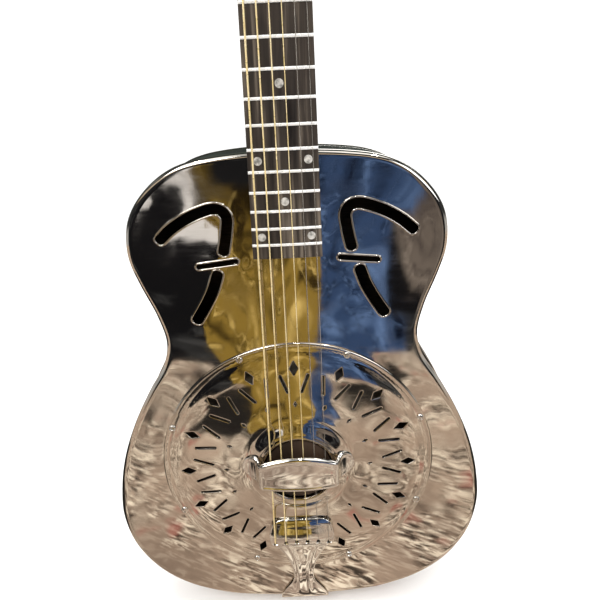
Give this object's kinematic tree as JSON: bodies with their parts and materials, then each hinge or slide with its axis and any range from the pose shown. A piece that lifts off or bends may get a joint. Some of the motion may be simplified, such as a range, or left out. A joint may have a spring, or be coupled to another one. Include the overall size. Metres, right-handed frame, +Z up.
{
  "type": "resonator guitar",
  "caption": "Steel-bodied resonator guitar: sheet-metal body, perforated round cover plate with hand rest, spun cone under a biscuit bridge, wooden neck, geared tuners.",
  "frame": {"origin": "centre of the end pin's flat end, at the tail of the body", "axes": "+Z up the neck towards the head, +Y into the body from the strings to the back plate, +X to the right of someone looking at the strings"},
  "size_m": [0.3514, 0.1014, 0.9901],
  "materials": {
    "body_nickel": "mirror-polished nickel plate over sheet metal",
    "well_nickel": "plain nickel plate",
    "coverplate_nickel": "mirror-polished nickel plate",
    "bright_chrome": "bright chrome",
    "screw_nickel": "polished nickel",
    "hardware_nickel": "polished nickel",
    "cone_aluminium": "spun aluminium, satin",
    "bridge_maple": "bare maple",
    "stick_maple": "bare maple",
    "neck_mahogany": "dark stained, gloss",
    "board_rosewood": "oiled dark rosewood with brown streaks",
    "nut_bone": "polished bone",
    "small_brass": "plain brass",
    "gear_brass": "plain brass",
    "rod_steel": "plain steel",
    "cover_black": "gloss black",
    "string_bronze": "round-wound bronze",
    "string_steel": "plain steel wire",
    "button_ivoroid": "cream plastic"
  },
  "bodies": {
    "guitar": {"top_plate": "body_nickel", "side_rim": "body_nickel", "back_plate": "body_nickel", "sound_well": "well_nickel", "resonator_cone": "cone_aluminium", "bridge_biscuit": "bridge_maple", "biscuit_screw": "small_brass", "bridge_saddle": "bridge_maple", "coverplate": "coverplate_nickel", "hand_rest": "bright_chrome", "coverplate_screw_1": "screw_nickel", "coverplate_screw_2": "screw_nickel", "coverplate_screw_3": "screw_nickel", "coverplate_screw_4": "screw_nickel", "coverplate_screw_5": "screw_nickel", "coverplate_screw_6": "screw_nickel", "coverplate_screw_7": "screw_nickel", "coverplate_screw_8": "screw_nickel", "neck": "neck_mahogany", "neck_stick": "stick_maple", "truss_rod": "rod_steel", "truss_rod_cover": "cover_black", "fingerboard": "board_rosewood", "nut": "nut_bone", "tailpiece": "bright_chrome", "end_pin": "hardware_nickel", "string_1": "string_bronze", "string_2": "string_bronze", "string_3": "string_bronze", "string_4": "string_bronze", "string_5": "string_steel", "string_6": "string_steel", "tuner_plate_left": "hardware_nickel", "tuner_plate_right": "hardware_nickel"},
    "tuner_key_1": {"tuner_worm_1": "hardware_nickel", "tuner_button_1": "button_ivoroid"},
    "post_1": {"string_post_1": "hardware_nickel", "string_gear_1": "gear_brass"},
    "tuner_key_2": {"tuner_worm_2": "hardware_nickel", "tuner_button_2": "button_ivoroid"},
    "post_2": {"string_post_2": "hardware_nickel", "string_gear_2": "gear_brass"},
    "tuner_key_3": {"tuner_worm_3": "hardware_nickel", "tuner_button_3": "button_ivoroid"},
    "post_3": {"string_post_3": "hardware_nickel", "string_gear_3": "gear_brass"},
    "tuner_key_4": {"tuner_worm_4": "hardware_nickel", "tuner_button_4": "button_ivoroid"},
    "post_4": {"string_post_4": "hardware_nickel", "string_gear_4": "gear_brass"},
    "tuner_key_5": {"tuner_worm_5": "hardware_nickel", "tuner_button_5": "button_ivoroid"},
    "post_5": {"string_post_5": "hardware_nickel", "string_gear_5": "gear_brass"},
    "tuner_key_6": {"tuner_worm_6": "hardware_nickel", "tuner_button_6": "button_ivoroid"},
    "post_6": {"string_post_6": "hardware_nickel", "string_gear_6": "gear_brass"},
    "truss_nut": {"truss_rod_nut": "small_brass"}
  },
  "joints": [
    {"name": "tuner_key_1_turn", "type": "hinge", "parent": "guitar", "child": "tuner_key_1", "pos_m": [-0.03, -0.01092, 0.86344], "axis": [1, 0, 0], "continuous": true},
    {"name": "post_1_turn", "type": "hinge", "parent": "guitar", "child": "post_1", "pos_m": [-0.022, -0.02757, 0.87857], "axis": [0, -0.9659, 0.2588], "continuous": true},
    {"name": "tuner_key_2_turn", "type": "hinge", "parent": "guitar", "child": "tuner_key_2", "pos_m": [-0.03, -0.0016, 0.89822], "axis": [1, 0, 0], "continuous": true},
    {"name": "post_2_turn", "type": "hinge", "parent": "guitar", "child": "post_2", "pos_m": [-0.022, -0.01825, 0.91334], "axis": [0, -0.9659, 0.2588], "continuous": true},
    {"name": "tuner_key_3_turn", "type": "hinge", "parent": "guitar", "child": "tuner_key_3", "pos_m": [-0.03, 0.00772, 0.93299], "axis": [1, 0, 0], "continuous": true},
    {"name": "post_3_turn", "type": "hinge", "parent": "guitar", "child": "post_3", "pos_m": [-0.022, -0.00894, 0.94812], "axis": [0, -0.9659, 0.2588], "continuous": true},
    {"name": "tuner_key_4_turn", "type": "hinge", "parent": "guitar", "child": "tuner_key_4", "pos_m": [0.03, 0.00772, 0.93299], "axis": [1, 0, 0], "continuous": true},
    {"name": "post_4_turn", "type": "hinge", "parent": "guitar", "child": "post_4", "pos_m": [0.022, -0.00894, 0.94812], "axis": [0, -0.9659, 0.2588], "continuous": true},
    {"name": "tuner_key_5_turn", "type": "hinge", "parent": "guitar", "child": "tuner_key_5", "pos_m": [0.03, -0.0016, 0.89822], "axis": [1, 0, 0], "continuous": true},
    {"name": "post_5_turn", "type": "hinge", "parent": "guitar", "child": "post_5", "pos_m": [0.022, -0.01825, 0.91334], "axis": [0, -0.9659, 0.2588], "continuous": true},
    {"name": "tuner_key_6_turn", "type": "hinge", "parent": "guitar", "child": "tuner_key_6", "pos_m": [0.03, -0.01092, 0.86344], "axis": [1, 0, 0], "continuous": true},
    {"name": "post_6_turn", "type": "hinge", "parent": "guitar", "child": "post_6", "pos_m": [0.022, -0.02757, 0.87857], "axis": [0, -0.9659, 0.2588], "continuous": true},
    {"name": "truss_rod_nut_turn", "type": "hinge", "parent": "guitar", "child": "truss_nut", "pos_m": [0, -0.0298, 0.847], "axis": [0, 0.0175, 0.9998], "range_deg": [-180, 180]}
  ],
  "couplings": [
    {"joint": "post_1_turn", "follows": "tuner_key_1_turn", "ratio": 0.071429},
    {"joint": "post_2_turn", "follows": "tuner_key_2_turn", "ratio": 0.071429},
    {"joint": "post_3_turn", "follows": "tuner_key_3_turn", "ratio": 0.071429},
    {"joint": "post_4_turn", "follows": "tuner_key_4_turn", "ratio": 0.071429},
    {"joint": "post_5_turn", "follows": "tuner_key_5_turn", "ratio": 0.071429},
    {"joint": "post_6_turn", "follows": "tuner_key_6_turn", "ratio": 0.071429}
  ]
}
